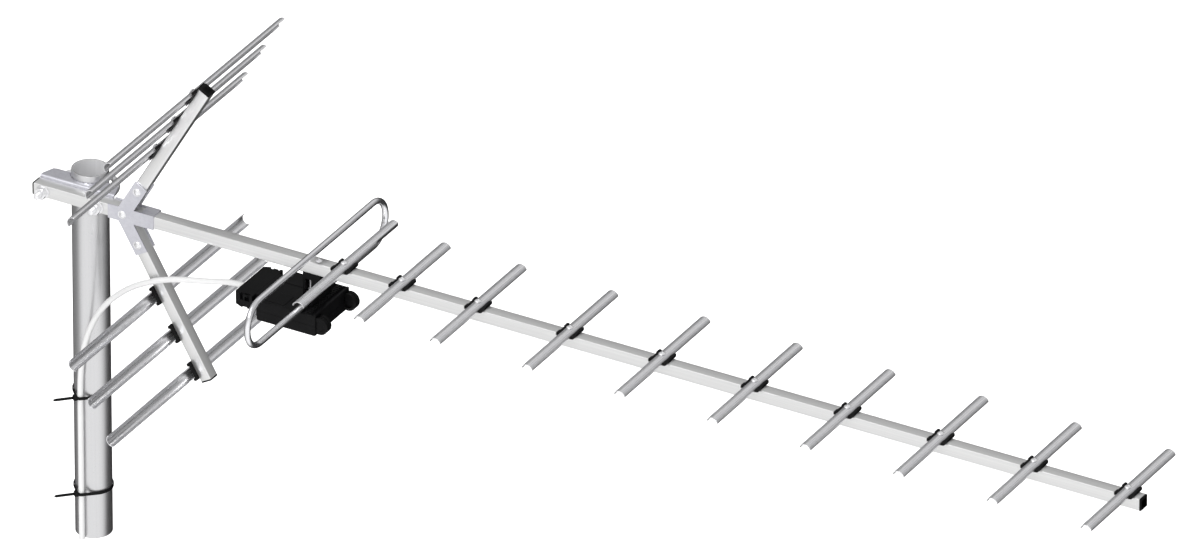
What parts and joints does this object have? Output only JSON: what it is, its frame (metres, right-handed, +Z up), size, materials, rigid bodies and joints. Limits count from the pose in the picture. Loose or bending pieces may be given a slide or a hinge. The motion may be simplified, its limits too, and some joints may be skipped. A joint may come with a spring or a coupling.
{
  "type": "yagi antenna",
  "caption": "Yagi television antenna: boom with channel directors, folded dipole with cable box, folding corner reflector and a U-bolt clamp on a mast tube.",
  "frame": {"origin": "centre of the mast tube at its foot", "axes": "+X along the boom towards the directors, +Z up the mast, -Y the side of the mast that the boom lies on"},
  "size_m": [1.4061, 0.378, 0.6345],
  "materials": {
    "mast_tube": "galvanised, smooth grey",
    "zinc_plate": "zinc plated, satin",
    "bright_steel": "bright zinc",
    "boom_alloy": "mill finish, satin",
    "element_sheet": "rolled strip, satin",
    "dipole_rod": "drawn rod, satin",
    "black_plastic": "moulded, satin black",
    "circuit_board": "green glass-fibre board",
    "ferrite": "dark ferrite",
    "black_rubber": "soft black",
    "cable_jacket": "white jacket"
  },
  "bodies": {
    "mast": {"mast": "mast_tube"},
    "antenna": {"mast_saddle": "zinc_plate", "u_bolt": "bright_steel", "u_bolt_washers": "bright_steel", "u_bolt_nuts": "bright_steel", "boom": "boom_alloy", "boom_rear_cap": "black_plastic", "boom_front_cap": "black_plastic", "reflector_bracket": "zinc_plate", "boom_rivet": "bright_steel", "pivot_rivets": "bright_steel", "folded_dipole": "dipole_rod", "terminal_screws": "bright_steel", "terminal_nuts": "bright_steel", "box_housing": "black_plastic", "hinge_pins": "bright_steel", "box_screws": "bright_steel", "balun_board": "circuit_board", "balun_core": "ferrite", "cable_gland": "black_rubber", "coax_tail": "cable_jacket", "cable_clamp": "zinc_plate", "clamp_screws": "bright_steel", "starter_director": "element_sheet", "director_1": "element_sheet", "director_2": "element_sheet", "director_3": "element_sheet", "director_4": "element_sheet", "director_5": "element_sheet", "director_6": "element_sheet", "director_7": "element_sheet", "director_8": "element_sheet", "director_9": "element_sheet", "director_clips": "black_plastic", "director_screws": "bright_steel", "down_lead": "cable_jacket", "upper_tie": "black_plastic", "lower_tie": "black_plastic"},
    "upper_reflector": {"upper_arm": "boom_alloy", "upper_arm_cap": "black_plastic", "upper_reflector_1": "element_sheet", "upper_reflector_2": "element_sheet", "upper_reflector_3": "element_sheet", "upper_clips": "black_plastic", "upper_screws": "bright_steel"},
    "lower_reflector": {"lower_arm": "boom_alloy", "lower_arm_cap": "black_plastic", "lower_reflector_1": "element_sheet", "lower_reflector_2": "element_sheet", "lower_reflector_3": "element_sheet", "lower_clips": "black_plastic", "lower_screws": "bright_steel"},
    "cover": {"box_cover": "black_plastic"}
  },
  "joints": [
    {"name": "pan", "type": "hinge", "parent": "mast", "child": "antenna", "pos_m": [0, 0, 0.4465], "axis": [0, 0, 1], "range_deg": [-180, 180]},
    {"name": "upper_fold", "type": "hinge", "parent": "antenna", "child": "upper_reflector", "pos_m": [0.08745, -0.0365, 0.48019], "axis": [0, 1, 0], "range_deg": [0, 60]},
    {"name": "lower_fold", "type": "hinge", "parent": "antenna", "child": "lower_reflector", "pos_m": [0.08745, -0.0365, 0.41281], "axis": [0, -1, 0], "range_deg": [0, 22]},
    {"name": "cover_hinge", "type": "hinge", "parent": "antenna", "child": "cover", "pos_m": [0.337, -0.0365, 0.3935], "axis": [0, -1, 0], "range_deg": [0, 90]}
  ]
}
